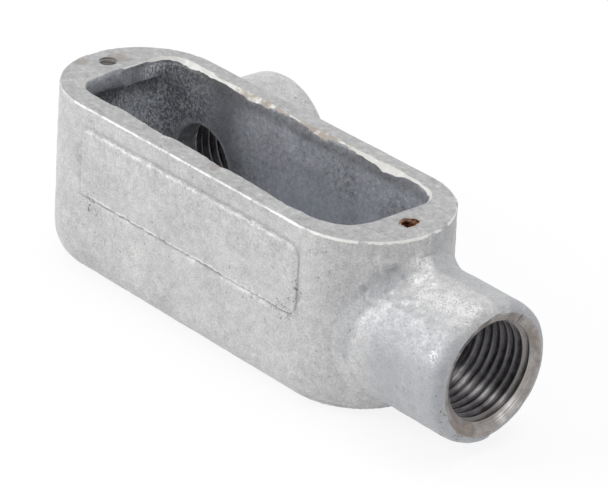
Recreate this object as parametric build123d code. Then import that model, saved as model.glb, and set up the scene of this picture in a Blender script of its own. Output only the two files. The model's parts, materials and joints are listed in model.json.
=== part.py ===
from build123d import *
import math
import os

# Conduit body of the LL pattern for half-inch rigid conduit, cast in one piece.
# The origin is the centre of the flat underside. +Z points up to the cover opening,
# +X to the end hub and +Y to the side hub. Lengths are in millimetres.

# The box of the casting.
body_length = 92.2
body_width = 31.8
body_height = 34.8
base_edge_radius = 6.0

# The chamber that the core leaves, and the lip that narrows it to the cover opening.
wall_thickness = 3.3
floor_thickness = 3.5
lip_thickness = 3.0
end_land = 9.3
side_land = 4.6
opening_corner_radius = 4.2
soft_corner_radius = 7.5
opening_bevel = 0.8
core_shift_x = 0.6
core_shift_y = -0.3
rim_shift_x = -0.4
rim_shift_y = 0.3
opening_turn = -0.8

# The two hubs, alike in section, and the smooth throat inside each.
hub_axis_height = 15.4
hub_reach = 17.9
hub_radius = 13.4
hub_edge_radius = 2.3
hub_edge_flats = 3
hub_blend_radius = 3.0
side_hub_inset = 18.3
throat_radius = 7.7

# Machining of each hub: drilled for the taper thread and countersunk at the mouth.
bore_radius = 9.13
bore_depth = 16.0
countersink_radius = 11.26
countersink_depth = 1.35

# Pilot holes for the two cover screws, drilled down through the lip.
screw_inset = 5.05
screw_hole_radius = 1.72
screw_hole_depth = 6.0

# The raised pad on the long wall away from the side hub.
pad_left_margin = 18.0
pad_right_margin = 15.4
pad_top_margin = 4.15
pad_height = 13.1
pad_raise = 0.45
pad_corner_radius = 2.0

# Places that follow from the sizes above.
half_length = body_length / 2
half_width = body_width / 2
lip_underside = body_height - lip_thickness
upward = (Align.CENTER, Align.CENTER, Align.MIN)
downward = (Align.CENTER, Align.CENTER, Align.MAX)
end_hub = Plane((half_length, 0, hub_axis_height), x_dir=(0, 1, 0), z_dir=(1, 0, 0))
side_hub_place = (side_hub_inset - half_length, half_width, hub_axis_height)
side_hub = Plane(side_hub_place, x_dir=(1, 0, 0), z_dir=(0, 1, 0))


def cast_box():
    """The long box with half-round ends and a round edge along its underside."""
    box = extrude(SlotOverall(body_length, body_width), body_height)
    underside = box.faces().sort_by(Axis.Z)[0]
    return fillet(underside.edges(), base_edge_radius)


def hub_blank():
    """A turned hub along local Z from its wall, its mouth worn round in short flats."""
    outline = [(0, -half_width), (hub_radius, -half_width)]
    for flat in range(hub_edge_flats + 1):
        turn = math.radians(90 * flat / hub_edge_flats)
        reach = hub_reach - hub_edge_radius * (1 - math.sin(turn))
        radius = hub_radius - hub_edge_radius * (1 - math.cos(turn))
        outline.append((radius, reach))
    outline.append((0, hub_reach))
    profile = make_face(Plane.XZ * Polyline(outline, close=True))
    return revolve(profile, Axis.Z)


def root_edges(casting, hub):
    """The edges where a hub meets the box: all of each edge lies on the hub's radius."""
    edges = ShapeList()
    for edge in casting.edges():
        places = [hub.to_local_coords(edge @ share) for share in (0, 0.5, 1)]
        below_mouth = max(place.Z for place in places) < hub_reach / 2
        at_radius = all(abs(math.hypot(place.X, place.Y) - hub_radius) < 0.01 for place in places)
        if below_mouth and at_radius:
            edges.append(edge)
    return edges


def raised_pad():
    """A low plate with rounded corners on the long wall away from the side hub."""
    length = body_length - pad_left_margin - pad_right_margin
    centre_x = (pad_left_margin - pad_right_margin) / 2
    centre_z = body_height - pad_top_margin - pad_height / 2
    wall = Plane((centre_x, -half_width, centre_z), x_dir=(1, 0, 0), z_dir=(0, -1, 0))
    return extrude(wall * RectangleRounded(length, pad_height, pad_corner_radius), pad_raise)


def cover_opening():
    """The hole through the lip, set a little askew, with one softer corner and a bevelled rim."""
    outline = Rectangle(body_length - 2 * end_land, body_width - 2 * side_land)
    corners = outline.vertices().sort_by(lambda corner: corner.X - corner.Y)
    soft_place = corners[-1].center()
    outline = fillet(corners[:-1], opening_corner_radius)
    outline = fillet(outline.vertices().sort_by_distance(soft_place)[0], soft_corner_radius)
    hole = extrude(Plane.XY.offset(lip_underside) * outline, lip_thickness)
    bevel = extrude(Plane.XY.offset(body_height - opening_bevel) * outline, opening_bevel, taper=-45)
    return Pos(rim_shift_x, rim_shift_y, 0) * Rot(0, 0, opening_turn) * (hole + bevel)


def wiring_core():
    """The chamber, where the core stood a little off centre."""
    outline = SlotOverall(body_length - 2 * wall_thickness, body_width - 2 * wall_thickness)
    chamber = extrude(Plane.XY.offset(floor_thickness) * outline, lip_underside - floor_thickness)
    return Pos(core_shift_x, core_shift_y, 0) * chamber


def throat_core():
    """The smooth throat from the chamber to the drilled bore, along local Z."""
    length = half_width + hub_reach - bore_depth
    return Pos(0, 0, -half_width) * Cylinder(throat_radius, length, align=upward)


def hub_machining():
    """The drilled bore and the countersink at the mouth, along local Z."""
    bore = Cylinder(bore_radius, bore_depth, align=downward)
    sink = Cone(bore_radius, countersink_radius, countersink_depth, align=downward)
    return Pos(0, 0, hub_reach) * (bore + sink)


def screw_holes():
    """Two pilot holes in line with the opening, one in each end of the rim."""
    spacing = body_length - 2 * screw_inset
    marks = Sketch() + GridLocations(spacing, 0, 2, 1) * Circle(screw_hole_radius)
    return extrude(Plane((rim_shift_x, rim_shift_y, body_height)) * marks, -screw_hole_depth)


casting = cast_box() + end_hub * hub_blank() + side_hub * hub_blank()
roots = root_edges(casting, end_hub) + root_edges(casting, side_hub)
casting = fillet(roots, hub_blend_radius) + raised_pad()
casting = casting - wiring_core() - end_hub * throat_core() - side_hub * throat_core()
casting = casting - cover_opening() - screw_holes()
casting = casting - end_hub * hub_machining() - side_hub * hub_machining()

os.makedirs("parts", exist_ok=True)
export_step(casting, "parts/conduit_body.step")
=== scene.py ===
import json
import math

import bmesh
import bpy
from mathutils import Matrix, Vector, noise


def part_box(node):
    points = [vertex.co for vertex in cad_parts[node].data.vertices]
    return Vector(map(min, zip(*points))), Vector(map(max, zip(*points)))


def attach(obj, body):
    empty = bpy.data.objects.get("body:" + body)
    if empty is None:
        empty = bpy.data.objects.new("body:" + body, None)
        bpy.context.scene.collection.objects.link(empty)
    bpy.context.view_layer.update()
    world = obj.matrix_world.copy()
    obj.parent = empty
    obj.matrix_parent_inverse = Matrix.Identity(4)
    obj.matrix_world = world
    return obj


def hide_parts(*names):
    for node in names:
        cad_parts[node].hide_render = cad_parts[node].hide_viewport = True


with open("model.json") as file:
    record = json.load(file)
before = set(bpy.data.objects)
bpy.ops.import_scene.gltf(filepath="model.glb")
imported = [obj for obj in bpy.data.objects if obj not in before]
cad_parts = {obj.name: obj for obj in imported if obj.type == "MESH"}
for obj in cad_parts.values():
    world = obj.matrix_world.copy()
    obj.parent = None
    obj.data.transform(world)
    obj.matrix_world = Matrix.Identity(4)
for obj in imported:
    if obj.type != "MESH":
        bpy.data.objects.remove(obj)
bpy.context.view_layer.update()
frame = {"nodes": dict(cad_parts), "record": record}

scene = bpy.context.scene
MM = 0.001


# The studio: a white floor that runs out of sight, a soft box up on the left, a broad one
# overhead and a white surround. The camera looks down over the near wall and the end hub
# through a long lens; its place was fitted to the casting's outlines.
CAMERA_PLACE = (0.417351, -0.377691, 0.301279)
CAMERA_TURN = (62.879, -3.021, 48.355)
CAMERA_LENS = 206.18
FLOOR_REACH = 3.0
FLOOR_COLOUR = (0.86, 0.86, 0.86)
FLOOR_WHITE = 1.08
WHITE_SHARE = 0.78
SURROUND_LEVEL = 0.50
SOFT_BOXES = {
    "key": {"place": (-0.52, -0.62, 0.34), "size": 0.55, "watts": 3.4},
    "overhead": {"place": (0.05, 0.15, 0.85), "size": 0.60, "watts": 2.2},
}


def link(thing):
    """The new object, put into the scene."""
    scene.collection.objects.link(thing)
    return thing


def add(tree, kind, inputs=None, **settings):
    """One more node in a tree. An input is a number, a colour, a node, or a node's named output."""
    made = tree.nodes.new("ShaderNode" + kind)
    for name, value in settings.items():
        setattr(made, name, value)
    for name, value in (inputs or {}).items():
        named = [each for each in made.inputs if each.name == name and each.enabled]
        socket = named[0] if named else made.inputs[name]
        if isinstance(value, bpy.types.Node):
            value = next(each for each in value.outputs if each.enabled)
        elif isinstance(value, tuple) and isinstance(value[0], bpy.types.Node):
            value = value[0].outputs[value[1]]
        if isinstance(value, bpy.types.NodeSocket):
            tree.links.new(value, socket)
        else:
            socket.default_value = (*value, 1) if socket.type == "RGBA" else value
    return made


def empty_tree(thing):
    """The node tree of a new material or world, with nothing in it."""
    thing.use_nodes = True
    thing.node_tree.nodes.clear()
    return thing.node_tree


def times(tree, first, *others):
    """The product of two or more values."""
    for each in others:
        first = add(tree, "Math", {0: first, 1: each}, operation="MULTIPLY")
    return first


def larger(tree, first, second):
    """The larger of two values."""
    return add(tree, "Math", {0: first, 1: second}, operation="MAXIMUM")


def seen_as_white(tree):
    """1 for the camera and for glossy surfaces, which see the surround as plain white."""
    rays = add(tree, "LightPath")
    return larger(tree, (rays, "Is Camera Ray"), (rays, "Is Glossy Ray"))


# The camera sees most of the floor as plain white, so that the shadow stays faint.
floor_paint = bpy.data.materials.new("white_floor")
tree = empty_tree(floor_paint)
share = times(tree, seen_as_white(tree), WHITE_SHARE)
matt = add(tree, "BsdfDiffuse", {"Color": FLOOR_COLOUR})
plain = add(tree, "Emission", {"Color": (1, 1, 1), "Strength": FLOOR_WHITE})
add(tree, "OutputMaterial", {"Surface": add(tree, "MixShader", {0: share, 1: matt, 2: plain})})

bm = bmesh.new()
bmesh.ops.create_grid(bm, x_segments=1, y_segments=1, size=FLOOR_REACH)
floor = link(bpy.data.objects.new("floor", bpy.data.meshes.new("floor")))
bm.to_mesh(floor.data)
bm.free()
floor.data.materials.append(floor_paint)

scene.world = bpy.data.worlds.new("surround")
tree = empty_tree(scene.world)
ambient = add(tree, "Background", {"Color": (1, 1, 1), "Strength": SURROUND_LEVEL})
backdrop = add(tree, "Background", {"Color": (1, 1, 1), "Strength": 1.0})
shown = add(tree, "MixShader", {0: seen_as_white(tree), 1: ambient, 2: backdrop})
add(tree, "OutputWorld", {"Surface": shown})

for name, box in SOFT_BOXES.items():
    lamp = bpy.data.lights.new(name, "AREA")
    lamp.shape = "SQUARE"
    lamp.size = box["size"]
    lamp.energy = box["watts"]
    rig = link(bpy.data.objects.new(name, lamp))
    rig.location = box["place"]
    rig.rotation_euler = (-rig.location).to_track_quat("-Z", "Y").to_euler()

camera = link(bpy.data.objects.new("camera", bpy.data.cameras.new("camera")))
camera.location = CAMERA_PLACE
camera.rotation_euler = [math.radians(angle) for angle in CAMERA_TURN]
camera.data.lens = CAMERA_LENS
camera.data.sensor_width = 36
camera.data.clip_start = 0.05
camera.data.clip_end = 20
scene.camera = camera
scene.view_settings.view_transform = "Standard"


# The casting: iron poured round a sand core, then dipped in zinc. Its walls are the packed
# model's, remeshed fine enough for the skin: lumps left by the sand, a lip that is wavy where
# the core's print wore, and soft roots under the hubs. Stock is left where it is machined.
GRAIN = 0.60 * MM
STOCK = 0.35 * MM
HALF_WIDTH = 15.9 * MM
HALF_LENGTH = 46.1 * MM
OPENING_HALF = (36.8 * MM, 11.3 * MM)
OPENING_TURN = math.radians(-0.8)
DRAFT = 0.24 * MM
PARTING = 0.4 * MM
PARTING_STEP = 0.26 * MM
SINK_RADIUS = 12.0 * MM
BORE_DEPTH = 16.0 * MM
MOUTH_STOCK_RADIUS = SINK_RADIUS - 1.0 * MM
MOUTH_STOCK_DEPTH = 2.0 * MM
LIP_STOCK_DEPTH = 2.4 * MM
PLUG_RADIUS = 2.2 * MM
PLUG_DEPTH = 7.0 * MM
PLUG_CORE = 0.05 * MM
PAD_CENTRE = (1.3 * MM, 24.1 * MM)
PAD_HALF = (29.4 * MM, 6.55 * MM)
PAD_CORNER = 2.0 * MM
PAD_RAISE = 0.45 * MM
DRIP_PLACE = (-42.0 * MM, 0.9 * MM, 26.6 * MM)
DRIP_SIZE = (0.9 * MM, 0.8 * MM, 1.9 * MM)

low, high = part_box("conduit_body")
RIM = high.z
mounts = {mount["name"]: mount for mount in frame["record"]["mounts"]}
SCREW_REACH = mounts["cover_screws"]["dims"]["spacing_x_mm"] / 2 * MM
SCREW_PILOT = mounts["cover_screws"]["dims"]["hole_r_mm"] * MM
BORE = mounts["end_hub"]["dims"]["r_mm"] * MM


def hub_place(name, mouth):
    """The place of a hub's mouth: its origin on the axis, its Z out of the hub."""
    axis = Vector(mounts[name]["axis"])
    centre = Vector(mounts[name]["pos_m"])
    origin = centre + axis * (mouth - centre.dot(axis))
    return Matrix.Translation(origin) @ axis.to_track_quat("Z", "Y").to_matrix().to_4x4()


HUBS = {"end_hub": hub_place("end_hub", high.x), "side_hub": hub_place("side_hub", high.y)}
RIM_CENTRE = Vector((*mounts["cover_screws"]["pos_m"][:2], 0))
SCREWS = {side: Matrix.Translation((RIM_CENTRE.x + side * SCREW_REACH, RIM_CENTRE.y, RIM))
          for side in (-1, 1)}
OPENING = Matrix.Translation(RIM_CENTRE) @ Matrix.Rotation(OPENING_TURN, 4, "Z")


def rise(start, end, value):
    """Rises from 0 at the start to 1 at the end, with no kink."""
    share = min(max((value - start) / (end - start), 0), 1)
    return share * share * (3 - 2 * share)


def lumps(point, size):
    """Rounded lumps of about this size, from -1 to 1."""
    return noise.noise(point / size)


def past_middle(point):
    """How far a point lies past the straight stretch of the box, along X."""
    return max(abs(point.x) - (HALF_LENGTH - HALF_WIDTH), 0)


def wall_depth(point):
    """How far a point lies inside the box's outer wall, seen from above."""
    return HALF_WIDTH - math.hypot(past_middle(point), point.y)


def from_hub(point, place):
    """How far a point is in from a hub's mouth, and how far out from its axis."""
    away = place.inverted() @ point
    return -away.z, math.hypot(away.x, away.y)


def is_inside(point, normal):
    """1 on the walls of the chamber and of the hub holes, 0 on the outer skin."""
    for place in HUBS.values():
        inward, radius = from_hub(point, place)
        if -MM < inward < 26 * MM and radius < BORE + 0.45 * MM:
            return 1.0
    if normal.z > 0.6 and point.z > RIM - 0.6 * MM:
        return 0.0
    return rise(1.3 * MM, 2.0 * MM, wall_depth(point)) * rise(1.5 * MM, 2.0 * MM, point.z)


# The far edge of the opening, as the core left it: places along X, how far the edge stands
# out there, and how wide its chamfer is. The chamfer of the left end goes by places along Y.
FAR_EDGE = ((-38, 0.0, 0.6), (-34, -0.1, 0.75), (-29, 0.1, 0.85), (-26, 0.12, 0.8),
            (-23.5, -0.1, 0.4), (-20, 0.05, 0.55), (-16.5, 0.05, 0.8), (-13, 0.13, 0.95),
            (-10, 0.3, 1.0), (-7.5, 0.3, 0.5), (-5, 0.4, 0.5), (-1, 0.14, 0.45),
            (1, 0.0, 0.55), (3.5, 0.25, 0.95), (6, 0.26, 0.95), (8, 0.5, 0.6),
            (11, 0.62, 0.55), (16, 0.67, 0.6), (19, 0.64, 0.7), (21.5, 0.56, 0.95),
            (25, 0.8, 0.95), (27.5, 0.88, 0.5), (30, 0.9, 0.55), (32, 0.6, 0.35),
            (34.5, 0.2, 0.6), (38, 0.0, 0.5))
END_BEVEL = ((-12, 0.6), (-7.5, 0.55), (-4, 0.38), (0, 0.28),
             (2.5, 0.22), (5, 0.2), (6.5, 0.6), (12, 0.75))
NEAR_BULGE = -0.15 * MM
LIP_HANG = 0.8 * MM
CHAMBER_FAR = 12.2 * MM
CORNER = 4.2 * MM
SOFT_CORNER = 7.5 * MM
CORNER_STEPS = 24
EDGE_STOCK = 2.0 * MM
CRINKLE = 0.40 * MM
FLOOR_GAP = 0.02 * MM


def along(table, place, column):
    """The value of a table's column at a place in mm, running smoothly from row to row."""
    for here, after in zip(table, table[1:]):
        if here[0] <= place < after[0]:
            return here[column] + (after[column] - here[column]) * rise(here[0], after[0], place)
    return 0.0


def edge_wave(point):
    """How far the lip's edge is pushed along Y by the worn core print."""
    if point.y < 0:
        return NEAR_BULGE * rise(10, 18, point.x / MM) * rise(34, 29, point.x / MM)
    return along(FAR_EDGE, point.x / MM, 1) * MM


def bevel_width(point):
    """The width of the chamfer at a place on the opening's edge."""
    if point.x < -OPENING_HALF[0] + 1.5 * MM:
        return along(END_BEVEL, point.y / MM, 1) * MM
    return along(FAR_EDGE, point.x / MM, 2) * MM


def edge_push(point):
    """How far a point near the opening moves along Y, so that the lip's edge follows its wave."""
    reach = abs(abs((OPENING.inverted() @ point).y) - OPENING_HALF[1])
    if point.z > RIM - 2.7 * MM:
        return edge_wave(point) * rise(2.6 * MM, 1.4 * MM, reach)
    if reach > 2 * MM:
        return 0
    room = max(CHAMBER_FAR - point.y, 0)
    return min(edge_wave(point), room) * rise(RIM - 3.9 * MM, RIM - 3.2 * MM, point.z)


def opening_outline(step):
    """Points round the opening's edge in its own frame, each with its outward direction."""
    arcs = []
    for quarter, (side_x, side_y) in enumerate(((1, 1), (-1, 1), (-1, -1), (1, -1))):
        corner = SOFT_CORNER if side_x > side_y else CORNER
        centre = Vector((side_x * (OPENING_HALF[0] - corner), side_y * (OPENING_HALF[1] - corner), 0))
        for turn in range(CORNER_STEPS + 1):
            angle = (quarter + turn / CORNER_STEPS) * math.pi / 2
            outward = Vector((math.cos(angle), math.sin(angle), 0))
            arcs.append((centre + outward * corner, outward))
    outline = []
    for (here, outward), (after, _) in zip(arcs, arcs[1:] + arcs[:1]):
        parts = math.ceil((after - here).length / step)
        outline += [(here.lerp(after, part / parts), outward) for part in range(parts)]
    return outline


def lofted(bm, loops):
    """Skins loops of points, each loop as long as the next."""
    rows = [[bm.verts.new(point) for point in loop] for loop in loops]
    for low_row, high_row in zip(rows, rows[1:]):
        for i in range(len(low_row)):
            bm.faces.new((low_row[i - 1], low_row[i], high_row[i], high_row[i - 1]))
    return rows


def pad_outline(point):
    """How far a point of the near wall lies outside the raised pad; inside it is negative."""
    past_x = abs(point.x - PAD_CENTRE[0]) - PAD_HALF[0] + PAD_CORNER
    past_z = abs(point.z - PAD_CENTRE[1]) - PAD_HALF[1] + PAD_CORNER
    beyond = math.hypot(max(past_x, 0), max(past_z, 0))
    return beyond + min(max(past_x, past_z), 0) - PAD_CORNER


def on_near_wall(point, normal):
    """True on the flat of the wall that carries the pad."""
    on_wall = normal.y < -0.8 and wall_depth(point) < 0.6 * MM
    return on_wall and abs(point.x) < 33 * MM and point.z > 9 * MM


def on_flat_skin(point, normal):
    """True where the remesh left the upright outer wall a little off its true place."""
    return abs(normal.z) < 0.5 and point.z > 6 * MM and abs(wall_depth(point)) < 0.22 * MM


def swell(point, inside):
    """The height of the sand's lumps, which are roughest at the left end of the chamber."""
    if inside > 0.5:
        high = 0.16 * lumps(point, 4.2 * MM) + 0.07 * lumps(point, 1.3 * MM)
        rough = rise(-28 * MM, -34 * MM, point.x) * rise(RIM - 3 * MM, RIM - 5 * MM, point.z)
        high += 0.24 * rough * lumps(point, 1.1 * MM)
    else:
        high = 0.07 * lumps(point, 6.5 * MM) + 0.05 * lumps(point, 2.3 * MM)
        high += 0.03 * lumps(point, 1.3 * MM)
    return high * MM


def pad_share(point):
    """The share of the pad's height at a place: ragged at its border and worn along its foot."""
    ragged = pad_outline(point) + 0.35 * MM * lumps(point, 1.8 * MM)
    ragged += 0.25 * MM * lumps(point, 0.8 * MM)
    soft = 0.25 * MM + 0.75 * MM * rise(22 * MM, 29 * MM, point.x)
    raised = rise(soft, -soft, ragged) * (1 + 0.22 * lumps(point, 1.5 * MM))
    if point.z < PAD_CENTRE[1]:
        worn = max(0.35 + lumps(point, 3.5 * MM), 0)
        raised -= 0.9 * worn * rise(1.3 * MM, 0.7 * MM, ragged) * rise(0.1 * MM, 0.4 * MM, ragged)
    return raised


def crinkle(point):
    """The height of the crinkled zinc on top of the end hub's root."""
    ridge = 0.6 - 1.8 * abs(lumps(point, 1.9 * MM))
    top = rise(22 * MM, 26 * MM, point.z) * rise(PARTING + 0.5 * MM, PARTING - 0.5 * MM, point.y)
    return CRINKLE * ridge * top * rise(RIM, RIM - 3 * MM, point.z)


def skin_shift(point, normal):
    """How far a point of the raw casting moves, from the clean walls to the cast skin."""
    inside = is_inside(point, normal)
    outside = inside < 0.5
    shift = normal * swell(point, inside)
    if on_near_wall(point, normal):
        wall = math.sqrt(HALF_WIDTH ** 2 - past_middle(point) ** 2)
        shift.y += -pad_share(point) * PAD_RAISE - wall - point.y
    if outside and on_flat_skin(point, normal):
        shift += normal * wall_depth(point)
    if outside and point.x > HALF_LENGTH - 6 * MM:
        shift -= normal * PARTING_STEP * rise(PARTING - 0.3 * MM, PARTING + 0.5 * MM, point.y)
        shift += normal * crinkle(point)
    if outside and abs(normal.z) < 0.8 and wall_depth(point) > -1.2 * MM:
        shift += normal * DRAFT * rise(RIM, 0.45 * RIM, point.z)
    if inside > 0.5:
        hung = rise(24 * MM, 31.4 * MM, point.z) * rise(RIM - 0.2 * MM, RIM - 2.4 * MM, point.z)
        shift.z -= LIP_HANG * hung * rise(-31 * MM, -35 * MM, point.x)
    shift.y += edge_push(point)
    if normal.z < -0.5 and point.z < MM:
        shift.z = abs(shift.z) + FLOOR_GAP
    if normal.z > 0.5 and point.z > RIM - 0.8 * MM:
        shift.z += STOCK
    return shift


def turned(bm, place, profile, steps):
    """Spins a closed outline of (radius, height) points round the Z of a place."""
    ring = [bm.verts.new(place @ Vector((radius, 0, height))) for radius, height in profile]
    edges = [bm.edges.new((ring[i - 1], ring[i])) for i in range(len(ring))]
    bmesh.ops.spin(bm, geom=ring + edges, cent=place.translation, axis=place.col[2].xyz,
                   angle=2 * math.pi, steps=steps, use_merge=True)


bm = bmesh.new()
bm.from_mesh(frame["nodes"]["conduit_body"].data)
bmesh.ops.remove_doubles(bm, verts=bm.verts, dist=0.002 * MM)
for place in HUBS.values():
    turned(bm, place, [(BORE - STOCK, 0), (MOUTH_STOCK_RADIUS, 0),
                       (MOUTH_STOCK_RADIUS, -MOUTH_STOCK_DEPTH), (BORE + STOCK, -MOUTH_STOCK_DEPTH),
                       (BORE + STOCK, STOCK - BORE_DEPTH), (BORE - STOCK, STOCK - BORE_DEPTH)],
           steps=96)
for place in SCREWS.values():
    turned(bm, place, [(PLUG_CORE, -PLUG_DEPTH), (PLUG_CORE, 0), (PLUG_RADIUS, 0),
                       (PLUG_RADIUS, -PLUG_DEPTH)], steps=24)
low_edge = Vector((0, 0, RIM - LIP_STOCK_DEPTH))
high_edge = Vector((0, 0, RIM))
outline = opening_outline(3 * MM)
rows = lofted(bm, [[OPENING @ (point + outward * out) + rising for point, outward in outline]
                   for out, rising in ((0, low_edge), (0, high_edge), (EDGE_STOCK, high_edge),
                                       (EDGE_STOCK, low_edge), (0, low_edge))])
bmesh.ops.remove_doubles(bm, verts=rows[0] + rows[-1], dist=0.001 * MM)
bmesh.ops.create_uvsphere(bm, u_segments=16, v_segments=12, radius=1,
                          matrix=Matrix.Translation(DRIP_PLACE) @ Matrix.Diagonal((*DRIP_SIZE, 1)))
bmesh.ops.recalc_face_normals(bm, faces=bm.faces)
casting = link(bpy.data.objects.new("casting", bpy.data.meshes.new("casting")))
bm.to_mesh(casting.data)
bm.free()


def bake(piece):
    """Turns a piece's modifiers into its mesh."""
    graph = bpy.context.evaluated_depsgraph_get()
    shaped = bpy.data.meshes.new_from_object(piece.evaluated_get(graph))
    piece.modifiers.clear()
    piece.data = shaped


remesh = casting.modifiers.new("grain", "REMESH")
remesh.mode = "VOXEL"
remesh.voxel_size = GRAIN
bake(casting)


def soften(bm, verts, passes):
    """Draws each point towards its neighbours, the given number of times."""
    for _ in range(passes):
        bmesh.ops.smooth_vert(bm, verts=verts, factor=0.5, use_axis_x=True, use_axis_y=True,
                              use_axis_z=True)


def at_hub_root(point):
    """True at the sides of a hub's root, where the mould was rounded most."""
    for place in HUBS.values():
        inward, radius = from_hub(point, place)
        sideways = abs(point.z - place.translation.z) < 0.8 * radius
        if 9 * MM < inward < 32 * MM and 11.5 * MM < radius < 21 * MM and sideways:
            return wall_depth(point) < 2 * MM
    return False


def under_far_lip(point):
    """True where the chamber's far wall runs up into the lip, which hardly stands proud there."""
    in_wall = wall_depth(point) > 2 * MM and point.y > 7 * MM
    return in_wall and point.x > -33 * MM and RIM - 5.2 * MM < point.z < RIM - 2.5 * MM


bm = bmesh.new()
bm.from_mesh(casting.data)
soften(bm, bm.verts, passes=1)
soften(bm, [vert for vert in bm.verts if at_hub_root(vert.co)], passes=40)
bm.normal_update()
outlined = {vert for vert in bm.verts if on_near_wall(vert.co, vert.normal)
            and abs(pad_outline(vert.co)) < 0.9 * MM}
crossing = [edge for edge in bm.edges if all(vert in outlined for vert in edge.verts)]
bmesh.ops.subdivide_edges(bm, edges=crossing, cuts=1, use_grid_fill=True)
bm.normal_update()
shifts = [skin_shift(vert.co, vert.normal) for vert in bm.verts]
for vert, shift in zip(bm.verts, shifts):
    vert.co += shift
soften(bm, [vert for vert in bm.verts if under_far_lip(vert.co)], passes=30)
bm.to_mesh(casting.data)
bm.free()


# The finishes: the zinc skin, dull and mottled outside and dark in the chamber, then one for
# each way that the casting is cut: the ground rim, the bright edge of the opening, the turned
# iron of the hubs and the holes for the cover screws.
def grain(tree, spot, size, detail=2.0, rough=0.5):
    """Noise in lumps of this size, about 0.5."""
    return add(tree, "TexNoise", {"Vector": spot, "Scale": 1 / size, "Detail": detail,
                                  "Roughness": rough})


def ramp(tree, value, stops):
    """A colour for each value, given as (value, colour) in rising order."""
    made = add(tree, "ValToRGB", {"Fac": value})
    for place, colour in stops[1:-1]:
        made.color_ramp.elements.new(place)
    for element, (place, colour) in zip(made.color_ramp.elements, stops):
        element.position = place
        element.color = (*colour, 1)
    return made


def level(tree, value, start, end, low=0.0, high=1.0):
    """Runs from low to high as the value goes from start to end, and stops there."""
    return add(tree, "MapRange", {"Value": value, "From Min": start, "From Max": end, "To Min": low,
                                  "To Max": high}, interpolation_type="SMOOTHSTEP")


def sums(tree, *parts):
    """The sum of (value, weight) pairs."""
    total = None
    for value, weight in parts:
        scaled = add(tree, "Math", {0: value, 1: weight}, operation="MULTIPLY")
        total = scaled if total is None else add(tree, "Math", {0: total, 1: scaled}, operation="ADD")
    return total


def vector_math(tree, operation, first, second=(0, 0, 0)):
    """One step of arithmetic on vectors."""
    return add(tree, "VectorMath", {0: first, 1: second}, operation=operation)


def coats(tree, base, *layers):
    """A base colour with other colours laid over it in turn, given as (share, weight, colour)."""
    for share, weight, colour in layers:
        base = add(tree, "Mix", {"Factor": times(tree, share, weight), "A": base, "B": colour},
                   data_type="RGBA")
    return base


def patches(tree, spot, places, ragged, full=1.4):
    """1 near any of the (centre, radius) places in mm, out to full radii, then a ragged border."""
    total = None
    for centre, radius in places:
        gap = vector_math(tree, "DISTANCE", spot, tuple(each * MM for each in centre))
        gap = sums(tree, (gap, 1.0), (ragged, 1.6 * radius * MM))
        near = level(tree, gap, 2.0 * radius * MM, full * radius * MM)
        total = near if total is None else larger(tree, total, near)
    return total


def paint(name, build):
    """A material from a function that takes a tree and a spot and gives the inputs of the surface."""
    material = bpy.data.materials.new(name)
    tree = empty_tree(material)
    surface = build(tree, (add(tree, "TexCoord"), "Object"))
    shader = add(tree, "BsdfPrincipled", surface)
    add(tree, "OutputMaterial", {"Surface": shader})
    return material


def relief(tree, height, depth, strength):
    """A bump of this depth from a height between 0 and 1."""
    return add(tree, "Bump", {"Height": height, "Distance": depth, "Strength": strength})


# Real crinkled zinc at the end hub's root, painted near white as a highlight.
ROOT_CRINKLE_HIGHLIGHTS = (((45.8, -2.5, 30.6), 1.8), ((46.8, -1.2, 29.6), 1.8), ((48.6, -1.8, 28.7), 1.8),
             ((48.5, -4.4, 28.4), 1.8), ((50.6, -3.2, 28.4), 1.6))
# Painted highlights: places on the end hub where its crinkled zinc is painted near white.
CRINKLED_ZINC_HIGHLIGHTS = (*ROOT_CRINKLE_HIGHLIGHTS, ((52.0, -5.5, 27.4), 2.4), ((56.5, -5.0, 27.8), 2.6),
               ((60.5, -4.5, 27.8), 2.4), ((60.8, -11.9, 21.5), 1.1))
# Painted shade: bluish-grey patches in the hollow at the end hub's root, and on the hub itself.
HUB_SHADE_PLACES = (((62.4, -12.0, 19.5), 1.8), ((40.5, -13.5, 15.0), 2.4), ((40.8, -13.0, 18.5), 2.4),
             ((41.2, -12.0, 21.7), 2.4), ((42.2, -11.0, 23.5), 2.4), ((43.2, -9.9, 25.4), 2.4),
             ((44.0, -8.6, 27.2), 2.4), ((44.7, -7.0, 29.0), 2.2), ((62.5, 5.0, 26.5), 2.6),
             ((60.0, 7.0, 26.5), 2.6))
RIM_STAINS = (((40.7, 0.3, 34.8), 2.4), ((-41.4, 2.5, 34.8), 2.4), ((-44.0, -4.0, 34.8), 1.6),
              ((5.0, -13.0, 34.8), 1.3))
PITTED_ZINC = (((63.0, -10.9, 11.5), 2.6), ((62.5, -7.5, 6.0), 2.8), ((-24.0, -15.9, 17.0), 3.0),
               ((27.5, -15.9, 17.6), 2.6), ((30.4, -15.9, 22.0), 2.0))
BURR_HEIGHT = 0.42 * MM


def wall_coordinate(tree, spot):
    """How far a spot lies inside the box's outer wall, as wall_depth has it."""
    flat = vector_math(tree, "MULTIPLY", spot, (1, 1, 0))
    flat = vector_math(tree, "ABSOLUTE", flat)
    flat = vector_math(tree, "SUBTRACT", flat, (HALF_LENGTH - HALF_WIDTH, 0, 0))
    flat = vector_math(tree, "MAXIMUM", flat)
    reach = vector_math(tree, "LENGTH", flat)
    return add(tree, "Math", {0: HALF_WIDTH, 1: reach}, operation="SUBTRACT")


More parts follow.
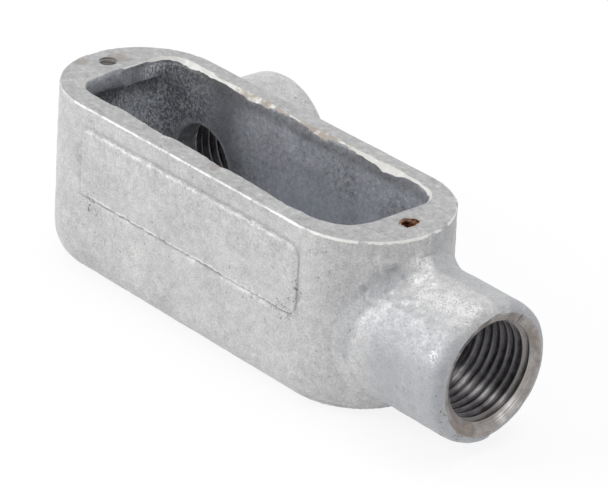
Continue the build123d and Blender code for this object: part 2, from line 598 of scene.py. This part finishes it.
def pad_shade_and_highlight(tree, spot, ragged):
    """Painted shade just outside the raised pad and a painted highlight just inside its border,
    deepest along its foot.
    """
    away = vector_math(tree, "SUBTRACT", spot, (PAD_CENTRE[0], -HALF_WIDTH, PAD_CENTRE[1]))
    sizes = vector_math(tree, "ABSOLUTE", away)
    beyond = vector_math(tree, "SUBTRACT", sizes, (PAD_HALF[0], 0, PAD_HALF[1]))
    away = add(tree, "SeparateXYZ", {0: away})
    beyond = add(tree, "SeparateXYZ", {0: beyond})
    out = larger(tree, (beyond, "X"), (beyond, "Z"))
    out = sums(tree, (out, 1.0), (ragged, 0.9 * MM), (0.5, -0.9 * MM))
    foot = times(tree, level(tree, (beyond, "Y"), 1.2 * MM, 0.8 * MM),
                 level(tree, (away, "Z"), 3 * MM, -3 * MM, 0.30, 1.0),
                 level(tree, (beyond, "X"), -1.2 * MM, -0.4 * MM, 1.0, 0.35),
                 level(tree, ragged, 0.40, 0.56, 0.45, 1.0))
    crease_shade = times(tree, level(tree, out, -0.05 * MM, 0.15 * MM),
                   level(tree, out, 1.05 * MM, 0.45 * MM), foot)
    edge = times(tree, level(tree, out, -0.65 * MM, -0.30 * MM),
                 level(tree, out, 0.0, -0.12 * MM), foot)
    return crease_shade, edge


def burr_and_highlight_share(tree, spot):
    """How much of the burr stands at a place on the rim's outer edge: most at the right end. Its
    near-white is partly a painted highlight.
    """
    axes = add(tree, "SeparateXYZ", {0: spot})
    kept = level(tree, grain(tree, spot, 2.4 * MM, 3.0), 0.34, 0.50)
    most = level(tree, (axes, "X"), 22 * MM, 32 * MM, 0.45, 1.0)
    return times(tree, kept, most)


def outer_zinc(tree, spot, drift, mottle, fine):
    """The outside: its colour, its tone, where it has a painted highlight, and the (value, weight) of
    its relief.
    """
    axes = add(tree, "SeparateXYZ", {0: spot})
    tone = sums(tree, (drift, 0.20), (mottle, 0.36), (fine, 0.44))
    skin = ramp(tree, tone, [(0.34, (0.42, 0.42, 0.43)), (0.45, (0.545, 0.545, 0.555)),
                             (0.54, (0.62, 0.62, 0.62)), (0.66, (0.77, 0.77, 0.755))])
    # Painted shade: the lower part of the end hub is darkened and blued.
    low_hub_shade = times(tree, level(tree, (axes, "X"), 43 * MM, 50 * MM),
                    level(tree, (axes, "Z"), 28 * MM, 22 * MM))
    # Painted shade: the end hub's half beyond the parting line is darkened.
    far_half_shade = times(tree, level(tree, (axes, "Y"), PARTING - 0.1 * MM, PARTING + 0.3 * MM),
                     level(tree, (axes, "X"), 41 * MM, 45 * MM))
    # Painted shade in the patches listed above.
    hub_shade = patches(tree, spot, HUB_SHADE_PLACES, mottle)
    # Painted highlight on the crinkled zinc of the hub's near half, in patches.
    bright = times(tree, patches(tree, spot, CRINKLED_ZINC_HIGHLIGHTS, mottle),
                   level(tree, (axes, "Y"), PARTING + 0.3 * MM, PARTING - 0.2 * MM))
    highlight_share = level(tree, sums(tree, (fine, 0.5), (mottle, 0.5)), 0.42, 0.58, 0.0, 0.75)
    crinkled = grain(tree, spot, 0.8 * MM, 4.0, 0.7)
    # Painted highlight on the crinkles at the hub's root; the same places also raise the bump.
    root_crinkles_and_highlight = patches(tree, spot, ROOT_CRINKLE_HIGHLIGHTS, mottle, 0.7)
    root = level(tree, crinkled, 0.46, 0.54, 0.15, 1.0)
    specks = grain(tree, spot, 0.55 * MM, 1.0)
    pitted = patches(tree, spot, PITTED_ZINC, mottle)
    pits = times(tree, level(tree, specks, sums(tree, (pitted, 0.13), (0.31, 1.0)),
                             sums(tree, (pitted, 0.13), (0.24, 1.0))),
                 level(tree, mottle, 0.62, 0.40))
    # Painted shade just outside the pad's border and a painted highlight just inside it.
    crease_shade, edge = pad_shade_and_highlight(tree, spot, mottle)
    # Painted highlight on the rim's outer edge: the raised zinc is real, its near-white partly stands
    # for light.
    burr_and_highlight = burr_and_highlight_share(tree, spot)
    burr_reach = sums(tree, ((axes, "Z"), 1.0), (burr_and_highlight, BURR_HEIGHT))
    burr_and_highlight = times(tree, burr_and_highlight, level(tree, burr_reach, RIM - 0.15 * MM, RIM))
    skin = coats(tree, skin,
                 (low_hub_shade, 0.55, (0.37, 0.385, 0.42)),
                 (far_half_shade, 0.35, (0.42, 0.435, 0.46)),
                 (hub_shade, 0.32, (0.35, 0.37, 0.41)),
                 (bright, highlight_share, (0.82, 0.825, 0.82)),
                 (root_crinkles_and_highlight, root, (0.97, 0.97, 0.96)),
                 (pits, 1.0, (0.22, 0.21, 0.20)),
                 (crease_shade, 0.70, (0.17, 0.165, 0.16)),
                 (edge, 0.60, (0.93, 0.92, 0.90)),
                 (burr_and_highlight, 1.0, (0.94, 0.93, 0.90)))
    return skin, tone, bright, ((specks, 0.2), (crease_shade, -0.5), (pits, -0.4), (crinkled, root_crinkles_and_highlight))


def chamber_zinc(tree, spot, drift, streak, fine):
    """The chamber's colour, then its fleck grain, its rough left end and where its flecks carry
    painted glints.
    """
    axes = add(tree, "SeparateXYZ", {0: spot})
    depth = sums(tree, (drift, 0.30), (streak, 0.45), (fine, 0.25))
    core = ramp(tree, depth, [(0.36, (0.20, 0.205, 0.22)), (0.46, (0.385, 0.395, 0.425)),
                              (0.56, (0.52, 0.535, 0.575)), (0.66, (0.72, 0.75, 0.81))])
    bright_wall = times(tree, level(tree, (axes, "X"), -18 * MM, -2 * MM),
                        level(tree, (axes, "Z"), 27 * MM, 20 * MM))
    below_lip = level(tree, (axes, "Z"), RIM - 4.0 * MM, RIM - 4.4 * MM)
    at_corner = times(tree, level(tree, (axes, "Y"), 3 * MM, 8 * MM),
                      level(tree, (axes, "Z"), RIM - 0.8 * MM, RIM - 1.6 * MM))
    rough_end = times(tree, level(tree, (axes, "X"), -20 * MM, -34 * MM),
                      larger(tree, below_lip, at_corner))
    darker = level(tree, (axes, "X"), -8 * MM, -26 * MM)
    # Painted shade in the far left corner of the chamber.
    far_corner_shade = times(tree, level(tree, (axes, "Y"), 7 * MM, 11 * MM),
                       level(tree, (axes, "X"), -12 * MM, -22 * MM))
    flecks = add(tree, "Mapping", {"Vector": spot, "Scale": (1.0, 1.5, 0.8)})
    flecks = grain(tree, flecks, 0.60 * MM, 4.0, 0.78)
    # Painted glints: the flecks of the rough left end are painted light and white, in clusters.
    flecks_and_glints = times(tree, rough_end, level(tree, drift, 0.38, 0.54, 0.55, 1.0),
                    level(tree, (axes, "Y"), 7 * MM, 11 * MM, 1.0, 0.30),
                    level(tree, (axes, "Z"), 5 * MM, 12 * MM, 0.30, 1.0))
    # Painted shadow on the left end wall, under the land.
    under_lip_shadow = times(tree, level(tree, (axes, "Z"), 25 * MM, 29.5 * MM),
                      level(tree, (axes, "Z"), 31.1 * MM, 30.7 * MM),
                      level(tree, (axes, "X"), -36 * MM, -39 * MM))
    # Painted shade on the lip's inner face just under the opening's edge.
    below_edge_shade = times(tree, level(tree, (axes, "Z"), RIM - 4.0 * MM, RIM - 1.8 * MM),
                       level(tree, (axes, "X"), -36 * MM, -31 * MM))
    from_axis = vector_math(tree, "SUBTRACT", spot, tuple(HUBS["side_hub"].translation))
    from_axis = vector_math(tree, "MULTIPLY", from_axis, (1, 0, 1))
    from_axis = vector_math(tree, "LENGTH", from_axis)
    # Painted highlight round the mouth of the side hub's hole in the chamber wall.
    throat_rim_highlight = times(tree, level(tree, from_axis, 9.2 * MM, 8.2 * MM),
                   level(tree, (axes, "Y"), 10.5 * MM, 11.8 * MM))
    # Painted shade inside the side hub's hole, past its mouth.
    throat_shade = times(tree, level(tree, from_axis, 8.1 * MM, 7.8 * MM),
                   level(tree, (axes, "Y"), 12.4 * MM, 13.0 * MM))
    core = coats(tree, core,
                 (bright_wall, 0.42, (0.66, 0.69, 0.75)),
                 (darker, level(tree, below_lip, 0, 1, 0.18, 0.08), (0.14, 0.145, 0.16)),
                 (far_corner_shade, 0.72, (0.12, 0.125, 0.14)),
                 (flecks_and_glints, level(tree, flecks, 0.45, 0.54), (0.86, 0.89, 0.94)),
                 (flecks_and_glints, level(tree, flecks, 0.51, 0.57), (1.0, 1.0, 1.0)),
                 (under_lip_shadow, 0.65, (0.07, 0.07, 0.075)),
                 (below_edge_shade, 0.50, (0.12, 0.115, 0.11)),
                 (throat_rim_highlight, 0.35, (0.80, 0.82, 0.85)),
                 (throat_shade, 0.62, (0.10, 0.10, 0.105)))
    return core, flecks, rough_end, flecks_and_glints


def zinc(tree, spot):
    """Dull zinc outside, and the darker, rougher skin of the chamber."""
    drift = grain(tree, spot, 9 * MM)
    mottle = grain(tree, spot, 1.7 * MM, 5.0, 0.62)
    fine = grain(tree, spot, 0.36 * MM, 2.0)
    streak = grain(tree, spot, 1.1 * MM, 4.0, 0.65)
    skin, tone, bright, outer_relief = outer_zinc(tree, spot, drift, mottle, fine)
    core, flecks, rough_end, flecks_and_glints = chamber_zinc(tree, spot, drift, streak, fine)
    mask = add(tree, "Attribute", attribute_name="inside")
    inside = level(tree, sums(tree, ((mask, "Fac"), 1.0), (mottle, 0.5)), 0.60, 0.90)
    rough_inside = times(tree, inside, rough_end)
    foiled = times(tree, inside, flecks_and_glints, level(tree, flecks, 0.46, 0.56))
    height = sums(tree, (mottle, 0.6), (fine, 0.3), (streak, times(tree, inside, 0.8)),
                  (flecks, times(tree, rough_inside, 1.6)), *outer_relief)
    strength = sums(tree, (bright, 0.45), (inside, 0.30), (rough_inside, 0.4), (0.30, 1.0))
    smooth = level(tree, tone, 0.40, 0.60, 0.62, 0.46)
    return {"Base Color": coats(tree, skin, (inside, 1.0, core)),
            "Metallic": sums(tree, (foiled, 0.10), (0.30, 1.0)),
            "Roughness": sums(tree, (smooth, 1.0), (foiled, -0.24)),
            "Normal": relief(tree, height, 0.25 * MM, strength)}


def ground(tree, spot):
    """The rim, ground flat with a coarse disc."""
    drift = grain(tree, spot, 6 * MM)
    mottle = grain(tree, spot, 1.3 * MM, 5.0, 0.65)
    fine = grain(tree, spot, 0.45 * MM, 3.0, 0.7)
    brushed = add(tree, "Mapping", {"Vector": spot, "Rotation": (0, 0, math.radians(24)),
                                    "Scale": (0.08, 1, 1)})
    scratch = grain(tree, brushed, 0.24 * MM, 3.0, 0.6)
    tone = sums(tree, (drift, 0.15), (mottle, 0.40), (fine, 0.25), (scratch, 0.20))
    metal = ramp(tree, tone, [(0.38, (0.27, 0.27, 0.275)), (0.46, (0.41, 0.41, 0.413)),
                              (0.54, (0.50, 0.50, 0.502)), (0.62, (0.68, 0.68, 0.675))])
    stains = patches(tree, spot, RIM_STAINS, mottle)
    # Painted highlight on the rim's outer edge: the raised zinc is real, its near-white partly stands
    # for light.
    edge = sums(tree, (wall_coordinate(tree, spot), 1.0), (mottle, 0.9 * MM))
    edge = level(tree, edge, 0.78 * MM, 0.54 * MM)
    metal = coats(tree, metal,
                  (stains, 0.50, (0.30, 0.25, 0.21)),
                  (edge, burr_and_highlight_share(tree, spot), (0.90, 0.90, 0.88)))
    height = sums(tree, (mottle, 0.6), (fine, 0.3), (scratch, 0.3))
    return {"Base Color": metal, "Metallic": 0.40,
            "Roughness": level(tree, mottle, 0.35, 0.65, 0.40, 0.58),
            "Normal": relief(tree, height, 0.14 * MM, 0.7)}


def bright_edge(tree, spot):
    """The chamfer round the opening, bright zinc with tan stains."""
    mottle = grain(tree, spot, 2.4 * MM, 5.0, 0.6)
    axes = add(tree, "SeparateXYZ", {0: spot})
    worn = times(tree, level(tree, (axes, "X"), -24 * MM, -14 * MM),
                 level(tree, (axes, "X"), 16 * MM, 8 * MM))
    tan = level(tree, mottle, 0.64, 0.46)
    metal = coats(tree, (0.80, 0.795, 0.77),
                  (tan, sums(tree, (worn, 0.85), (mottle, 0.40)), (0.42, 0.37, 0.32)))
    return {"Base Color": metal, "Metallic": 0.15, "Roughness": 0.55,
            "Normal": relief(tree, mottle, 0.12 * MM, 0.4)}


# Painted glints: near-white patches on the end hub's threads and countersink, standing for
# reflections.
PAINTED_GLINTS = (((63.2, 5.4, 7.6), 2.6), ((63.5, 3.4, 6.0), 1.6), ((61.4, 4.9, 7.5), 2.0),
            ((59.4, 4.7, 7.4), 2.0), ((57.3, 4.7, 7.5), 2.2), ((55.2, 4.5, 7.4), 2.2),
            ((53.4, 4.4, 7.3), 2.2), ((51.3, 4.9, 7.7), 2.0), ((49.4, 5.2, 7.8), 2.0))
CHATTER = (((63.2, 4.6, 24.3), 2.6),)
BROWN_IRON = (((63.4, -5.5, 5.6), 2.6), ((63.4, -8.5, 8.0), 2.0), ((63.4, 9.0, 19.5), 1.6))


def turned_iron(place, dark, light, metallic=0.85):
    """Iron turned round the Z of a place: streaks from dark to light run round it, and painted
    glints stand for reflections at given places. A low metallic value shows its own colours more."""
    axis = tuple(place.col[2].xyz)
    origin = tuple(place.translation)

    def build(tree, spot):
        away = vector_math(tree, "SUBTRACT", spot, origin)
        depth = vector_math(tree, "DOT_PRODUCT", away, axis)
        on_axis = add(tree, "VectorMath", {0: axis, "Scale": depth}, operation="SCALE")
        radius = vector_math(tree, "LENGTH", vector_math(tree, "SUBTRACT", away, on_axis))
        around = add(tree, "CombineXYZ", {"X": radius, "Y": depth,
                                          "Z": times(tree, grain(tree, spot, 4 * MM), 0.2 * MM)})
        marks = grain(tree, around, 0.13 * MM, 3.0, 0.6)
        stain = grain(tree, spot, 2.0 * MM, 6.0, 0.68)
        tone = sums(tree, (marks, 0.45), (stain, 0.55))
        middle = tuple((a + b) / 2 for a, b in zip(dark, light))
        metal = ramp(tree, tone, [(0.40, dark), (0.50, middle), (0.60, light)])
        first_land = level(tree, depth, -3.6 * MM, -2.6 * MM)
        brown = patches(tree, spot, BROWN_IRON, stain)
        chatter = add(tree, "Mapping", {"Vector": spot, "Rotation": (-0.46, 0, 0), "Scale": (9, 1, 9)},
                      vector_type="TEXTURE")
        chatter = times(tree, level(tree, grain(tree, chatter, 0.5 * MM), 0.53, 0.44),
                        patches(tree, spot, CHATTER, stain))
        # Painted glints, streaked along the turning marks.
        glints = times(tree, patches(tree, spot, PAINTED_GLINTS, stain, 0.5),
                         level(tree, marks, 0.36, 0.60, 0.25, 1.0))
        metal = coats(tree, metal,
                      (first_land, 0.40, (0.42, 0.39, 0.37)),
                      (brown, 0.45, (0.17, 0.125, 0.095)),
                      (chatter, 0.75, (0.10, 0.09, 0.085)),
                      (glints, 0.95, (0.97, 0.95, 0.95)))
        return {"Base Color": metal, "Metallic": metallic,
                "Roughness": level(tree, stain, 0.35, 0.65, 0.28, 0.44),
                "Normal": relief(tree, marks, 0.05 * MM, 0.6)}
    return build


def rust(tree, spot):
    """Rust in a screw hole, with tan dust under its upper edge."""
    mottle = grain(tree, spot, 0.8 * MM, 4.0, 0.6)
    rusty = ramp(tree, mottle, [(0.35, (0.08, 0.03, 0.02)), (0.52, (0.30, 0.11, 0.05)),
                                (0.68, (0.48, 0.22, 0.11))])
    axes = add(tree, "SeparateXYZ", {0: spot})
    dust = level(tree, (axes, "Z"), RIM - 0.9 * MM, RIM - 0.2 * MM)
    dusty = coats(tree, rusty, (dust, level(tree, mottle, 0.42, 0.58), (0.80, 0.62, 0.48)))
    return {"Base Color": dusty, "Roughness": 0.9}


casting.data.materials.clear()
casting.data.materials.append(paint("zinc_skin", zinc))
ground_rim = paint("ground_rim", ground)
opening_edge = paint("opening_edge", bright_edge)
rusty_hole = paint("rusty_hole", rust)


# The machining: a grinder over the rim, a chamfer round the opening, a countersink and a pipe
# tap in each hub and a screw tap in each end of the rim. Each tool is a solid that is taken
# away from the casting, and leaves the finish of its own cut.
GRINDER_SIZE = (0.2, 0.1, 0.01)
FLARE = 1.7 * MM
INSET = 0.7 * MM
INSET_DEPTH = 1.9 * MM
SINK_DEPTH = 1.35 * MM
SINK_SHIFTS = {"end_hub": (0, 0.25 * MM, 0.05 * MM), "side_hub": (0, 0, 0)}
PIPE_THREAD = {"pitch": 1.814 * MM, "groove": 1.25 * MM, "depth": 15.4 * MM, "taper": 1 / 32,
               "steps": 96}
SCREW_THREAD = {"pitch": 0.794 * MM, "groove": 0.36 * MM, "depth": 5.8 * MM, "taper": 0,
                "steps": 32}
RING_IRON = ((0.085, 0.077, 0.072), (0.40, 0.375, 0.36))
THREAD_IRON = ((0.07, 0.066, 0.07), (0.21, 0.20, 0.21))
CLEAN_IRON = ((0.50, 0.49, 0.48), (0.95, 0.94, 0.92))
FLANK_ANGLE = math.radians(30)
SHARP_ANGLE = math.radians(38)


def tool(name, bm, material):
    """A cutting tool made of a closed mesh; it is gone when the casting is finished."""
    bmesh.ops.recalc_face_normals(bm, faces=bm.faces)
    if bm.calc_volume(signed=True) < 0:
        bmesh.ops.reverse_faces(bm, faces=bm.faces)
    made = link(bpy.data.objects.new(name, bpy.data.meshes.new(name)))
    bm.to_mesh(made.data)
    bm.free()
    made.data.materials.append(material)
    cut = casting.modifiers.new(name, "BOOLEAN")
    cut.operation = "DIFFERENCE"
    cut.solver = "MANIFOLD"
    cut.material_mode = "TRANSFER"
    cut.object = made
    return made


bm = bmesh.new()
bmesh.ops.create_cube(bm, size=1, matrix=Matrix.Translation((0, 0, RIM + GRINDER_SIZE[2] / 2))
                      @ Matrix.Diagonal((*GRINDER_SIZE, 1)))
tools = [tool("grinder", bm, ground_rim)]

bm = bmesh.new()
loops = [[], [], []]
for point, outward in opening_outline(0.45 * MM):
    ragged = 0.24 * lumps(point, 1.5 * MM) + 0.16 * lumps(point, 0.6 * MM)
    drop = bevel_width(point) * (1 + ragged)
    for loop, out, rising in zip(loops, (-INSET, 0, FLARE), (-INSET_DEPTH, -drop, FLARE - drop)):
        placed = OPENING @ (point + outward * out) + Vector((0, 0, RIM + rising))
        loop.append(placed + Vector((0, edge_wave(placed), 0)))
rows = lofted(bm, loops)
bm.faces.new(rows[0])
bm.faces.new(rows[-1])
tools.append(tool("chamfer", bm, opening_edge))


def tap(name, place, minor, thread, material, torn=0):
    """A tap: one flank outline spun up a helix, trimmed flat at both ends and capped. A torn one
    is lumpy and a little smaller."""
    pitch, depth, steps = thread["pitch"], thread["depth"], thread["steps"]
    major = minor + thread["groove"]
    flank = (major - minor) * math.tan(FLANK_ANGLE)
    crest = pitch * 0.95 - 2 * flank
    outline = [(minor, 0), (minor, crest / 2), (major, crest / 2 + flank),
               (major, pitch - crest / 2 - flank), (minor, pitch - crest / 2), (minor, pitch)]
    turns = math.ceil(depth / pitch) + 4
    start = -depth - 2 * pitch
    bm = bmesh.new()
    ring = [bm.verts.new((radius, 0, start + height)) for radius, height in outline]
    edges = [bm.edges.new(pair) for pair in zip(ring, ring[1:])]
    bmesh.ops.spin(bm, geom=ring + edges, cent=(0, 0, 0), axis=(0, 0, 1), dvec=(0, 0, pitch / steps),
                   angle=2 * math.pi * turns, steps=steps * turns)
    bmesh.ops.remove_doubles(bm, verts=bm.verts, dist=0.004 * MM)
    for height, side in ((-depth, -1), (pitch, 1)):
        bmesh.ops.bisect_plane(bm, geom=[*bm.verts, *bm.edges, *bm.faces], plane_co=(0, 0, height),
                               plane_no=(0, 0, side), clear_outer=True)
    bmesh.ops.holes_fill(bm, edges=[edge for edge in bm.edges if edge.is_boundary])
    for vert in bm.verts:
        radius = math.hypot(vert.co.x, vert.co.y)
        cut = max(radius - minor + vert.co.z * thread["taper"], 0)
        cut *= rise(-depth, -depth + 0.9 * pitch, vert.co.z)
        if radius > minor * 1.001:
            vert.co.xy *= (minor + cut) / radius
        vert.co.xy *= 1 + torn * (lumps(vert.co, 1.3 * MM) - 0.3)
    bm.transform(place)
    return tool(name, bm, material)


for name, place in HUBS.items():
    slope = (SINK_RADIUS - BORE) / SINK_DEPTH
    bottom = -SINK_DEPTH - 0.3 * MM
    top = 1.0 * MM
    bm = bmesh.new()
    bmesh.ops.create_cone(bm, cap_ends=True, segments=128, radius1=SINK_RADIUS + slope * bottom,
                          radius2=SINK_RADIUS + slope * top, depth=top - bottom,
                          matrix=Matrix.Translation(SINK_SHIFTS[name]) @ place
                          @ Matrix.Translation((0, 0, (top + bottom) / 2)))
    ring_iron = paint(name + "_ring", turned_iron(place, *RING_IRON))
    tools.append(tool(name + "_sink", bm, ring_iron))
    thread_iron = paint(name + "_thread", turned_iron(place, *THREAD_IRON))
    tools.append(tap(name + "_tap", place, BORE, PIPE_THREAD, thread_iron))
clean_hole = paint("clean_hole", turned_iron(SCREWS[-1], *CLEAN_IRON, 0.3))
for side, finish, torn in ((-1, clean_hole, 0), (1, rusty_hole, 0.30)):
    tools.append(tap("screw_tap", SCREWS[side], SCREW_PILOT, SCREW_THREAD, finish, torn))

bake(casting)
for each in tools:
    bpy.data.objects.remove(each)
skin = casting.data
skin.polygons.foreach_set("use_smooth", [True] * len(skin.polygons))
skin.set_sharp_from_angle(angle=SHARP_ANGLE)
inside = skin.attributes.new("inside", "FLOAT", "POINT")
inside.data.foreach_set("value", [is_inside(vert.co, vert.normal) for vert in skin.vertices])

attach(casting, "root")
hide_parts("conduit_body")
